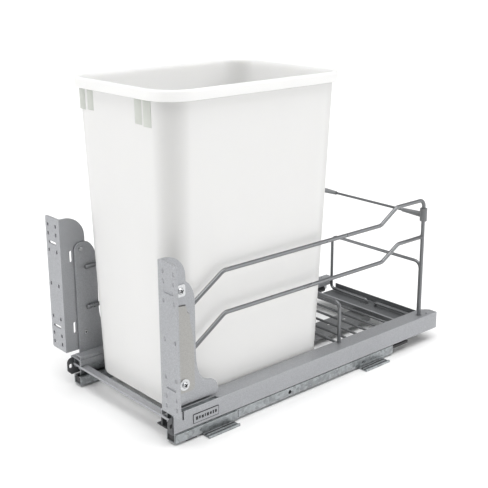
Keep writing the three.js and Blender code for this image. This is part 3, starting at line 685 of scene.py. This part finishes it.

# painted shadow line along the adjuster plate's edge, painted shade in the screw bores, and the screws' bright inner
# ends
plate_line = [(9.4, 71.4), (31, 71.4), (34.8, 72.6), (37.2, 74.8), (37.9, 78.2), (37.9, 135.4), (34.9, 159.3), (31.9, 173.6), (31.9, 183.1), (27.8, 187.3), (25.8, 196.8), (9.4, 198.5)]
for sgn, side_name in ((-1, "left"), (1, "right")):
    slab("plate_edge_shadow_" + side_name, plate_line, 0.26, lambda u, v, w, k=sgn: (k * (124.72 + w), u, v), EDGE, EDGE, "carriage", None, 0.05)
    for tag, (sy, sz), top in (("upper", (17.6, 218.2), 136.4 - 1.75), ("lower", (19.0, 84.6), 136.4 + 1.05)):
        inner = [(sy + 3.2 * math.cos(a * math.pi / 8), sz + 3.2 * math.sin(a * math.pi / 8)) for a in range(16)]
        slab("%s_screw_end_%s" % (tag, side_name), inner, 0.8, lambda u, v, w, k=sgn: (k * (118.9 - w), u, v), BRIGHT, BRIGHT, "carriage", None, 0.3)
        # painted shade: a near-black disc in the middle of each screw end stands for its shadowed bore
        core = [(sy + 1.3 * math.cos(a * math.pi / 6), sz + 1.3 * math.sin(a * math.pi / 6)) for a in range(12)]
        slab("%s_screw_bore_shade_%s" % (tag, side_name), core, 0.1, lambda u, v, w, k=sgn: (k * (118.08 - w), u, v), EDGE, EDGE, "carriage", None, 0.02)

def turned(cy, cz, half, wide, degrees):
    a = math.radians(degrees)
    ca, sa = math.cos(a), math.sin(a)
    return [(cy + u * ca - v * sa, cz + u * sa + v * ca) for u, v in ((-half, -wide), (half, -wide), (half, wide), (-half, wide))]


# painted shade: each screw's cross recess is a flat near-black cross
for sgn, side_name in ((-1, "left"), (1, "right")):
    for tag, (sy, sz), face in (("upper", (17.6, 218.2), 129.2), ("lower", (19.0, 84.6), 131.7)):
        for j, ang in enumerate((24, 114)):
            slab("%s_screw_cross_%s_%d" % (tag, side_name, j + 1), turned(sy, sz, 2.9, 0.75, ang), 0.12,
                 lambda u, v, w, k=sgn, f=face: (k * (f + 0.04 + w), u, v), EDGE, EDGE, "carriage", None, 0.02)
    # painted shadow: a thin near-black strip on the slide's outer wall stands for the shaded gap at the end of the
    # floor bracket's wall
    slab("slide_gap_shadow_" + side_name, round_rect(111.6, 4.5, 113.2, 15.5, 0.3, 2), 0.12, lambda u, v, w, k=sgn: (k * (128.53 + w), u, v), EDGE, EDGE, "cabinet_slides", None, 0.02)

# tongue that closes the window of the rear channel, and silver strips painted as highlights along its front lip and
# fold
slab("channel_tongue", round_rect(-23.5, 538.2, 23.5, 551.4, 1.0), 0.9, lambda u, v, w: (u, v, 25.45 + w), DARK, EDGE, "carriage", None, 0.15)
slab("channel_lip_highlight", round_rect(-104.8, 501.3, 104.8, 504.6, 0.5), 0.25, lambda u, v, w: (u, v, 35.65 + w), SILVER, SILVER, "carriage", None, 0.06)
slab("channel_fold_highlight", round_rect(-104.8, 556.2, 104.8, 557.9, 0.4), 0.25, lambda u, v, w: (u, v, 26.65 + w), SILVER, SILVER, "carriage", None, 0.06)


# ----------------------------------------------------------------- stage ----
floor_mat, t, b = new_material("pale_floor")
fc = noise(t, coords(t), 3.0, 2)
t.links.new(ramp(t, fc.outputs["Fac"], [(0.3, (0.955, 0.955, 0.955)), (0.7, (0.97, 0.97, 0.97))]), b.inputs["Base Color"])
b.inputs["Roughness"].default_value = 0.9
b.inputs["Specular IOR Level"].default_value = 0.1
floor = add_mesh("floor", [(-45, -45, -0.0002), (45, -45, -0.0002), (45, 45, -0.0002), (-45, 45, -0.0002)], [(0, 1, 2, 3)], floor_mat, False)

WORLD_DARK, WORLD_LIGHT = 0.08, 0.36
world = bpy.data.worlds.new("studio")
scene.world = world
world.use_nodes = True
wt = world.node_tree
bg = wt.nodes["Background"]
wc = wt.nodes.new("ShaderNodeTexCoord")
side = wt.nodes.new("ShaderNodeVectorMath")
side.operation = "DOT_PRODUCT"
side.inputs[1].default_value = (0.742, -0.67, 0.0)      # the open, unlit side of the studio
wt.links.new(wc.outputs["Generated"], side.inputs[0])
wr = wt.nodes.new("ShaderNodeMapRange")
wr.interpolation_type = "SMOOTHSTEP"
wr.inputs["From Min"].default_value = 0.35
wr.inputs["From Max"].default_value = 0.95
wr.inputs["To Min"].default_value = WORLD_LIGHT
wr.inputs["To Max"].default_value = WORLD_DARK
wt.links.new(side.outputs["Value"], wr.inputs["Value"])
wt.links.new(wr.outputs["Result"], bg.inputs["Strength"])
bg.inputs["Color"].default_value = (1, 1, 1, 1)


def sun(name, source, energy, angle):
    """Wide soft light from a direction."""
    d = bpy.data.lights.new(name, "SUN")
    d.energy = energy
    d.angle = math.radians(angle)
    o = bpy.data.objects.new(name, d)
    scene.collection.objects.link(o)
    o.rotation_euler = (-Vector(source)).to_track_quat("-Z", "Y").to_euler()
    return o


sun("top", (0.14, -0.12, 1.0), 2.65, 58)
sun("left", (-0.52, -0.857, 0.30), 0.70, 36)
sun("right", (0.80, 0.60, 0.34), 0.72, 36)
